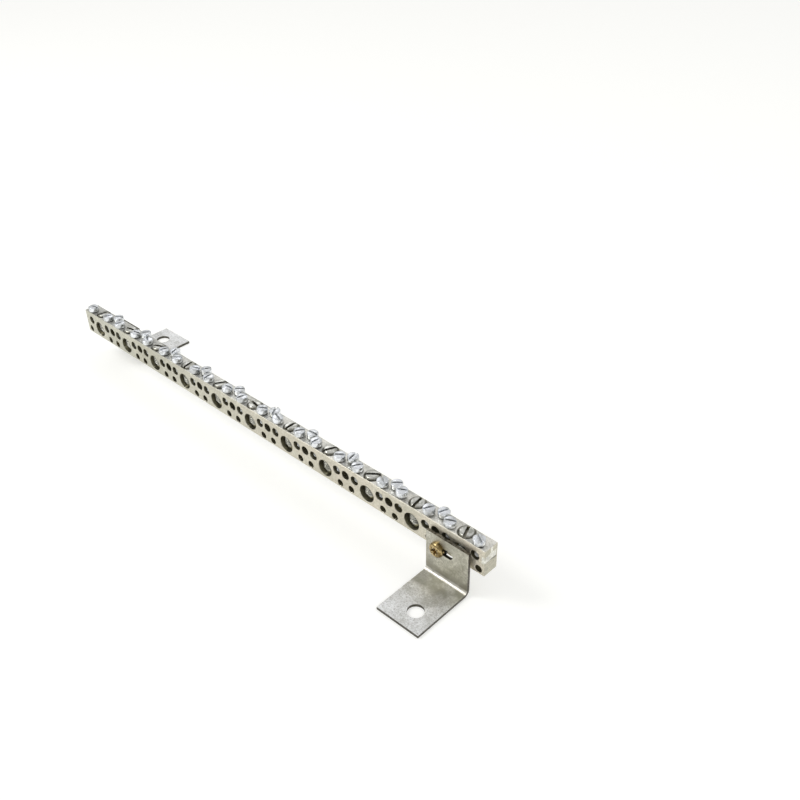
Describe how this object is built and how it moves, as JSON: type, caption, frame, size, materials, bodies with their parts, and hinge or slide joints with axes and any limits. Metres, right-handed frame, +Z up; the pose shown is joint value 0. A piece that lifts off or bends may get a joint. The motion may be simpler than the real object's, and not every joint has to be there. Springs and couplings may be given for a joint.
{
  "type": "earth terminal bar",
  "caption": "Long drilled metal bar on two folded L feet, with a clamping screw over each large and small conductor hole.",
  "frame": {"origin": "centre of the footprint, on the surface that the two feet stand on", "axes": "+X along the bar, +Y from its front face to its back face, +Z up through the clamping screws"},
  "size_m": [0.3288, 0.0842, 0.0354],
  "materials": {
    "bar": "tin-plated, sawn ends, lightly handled",
    "bracket": "zinc-plated sheet, mottled",
    "spacer": "zinc-plated",
    "bracket_screw": "yellow-passivated zinc",
    "main_screw": "zinc-plated, slotted",
    "branch_screw": "bright zinc-plated, slotted"
  },
  "bodies": {
    "root": {"terminal_bar": "bar", "bracket_left": "bracket", "bracket_spacer_left": "spacer", "bracket_screw_left": "bracket_screw", "bracket_right": "bracket", "bracket_spacer_right": "spacer", "bracket_screw_right": "bracket_screw", "main_screw_01": "main_screw", "main_screw_02": "main_screw", "main_screw_03": "main_screw", "main_screw_04": "main_screw", "main_screw_05": "main_screw", "main_screw_06": "main_screw", "main_screw_07": "main_screw", "main_screw_08": "main_screw", "main_screw_09": "main_screw", "main_screw_10": "main_screw", "main_screw_11": "main_screw", "branch_screw_01": "branch_screw", "branch_screw_02": "branch_screw", "branch_screw_03": "branch_screw", "branch_screw_04": "branch_screw", "branch_screw_05": "branch_screw", "branch_screw_06": "branch_screw", "branch_screw_07": "branch_screw", "branch_screw_08": "branch_screw", "branch_screw_09": "branch_screw", "branch_screw_10": "branch_screw", "branch_screw_11": "branch_screw", "branch_screw_12": "branch_screw", "branch_screw_13": "branch_screw", "branch_screw_14": "branch_screw", "branch_screw_15": "branch_screw", "branch_screw_16": "branch_screw", "branch_screw_17": "branch_screw", "branch_screw_18": "branch_screw", "branch_screw_19": "branch_screw", "branch_screw_20": "branch_screw", "branch_screw_21": "branch_screw", "branch_screw_22": "branch_screw", "branch_screw_23": "branch_screw", "branch_screw_24": "branch_screw", "branch_screw_25": "branch_screw", "branch_screw_26": "branch_screw", "branch_screw_27": "branch_screw", "branch_screw_28": "branch_screw", "branch_screw_29": "branch_screw", "branch_screw_30": "branch_screw", "branch_screw_31": "branch_screw", "branch_screw_32": "branch_screw"}
  },
  "joints": []
}
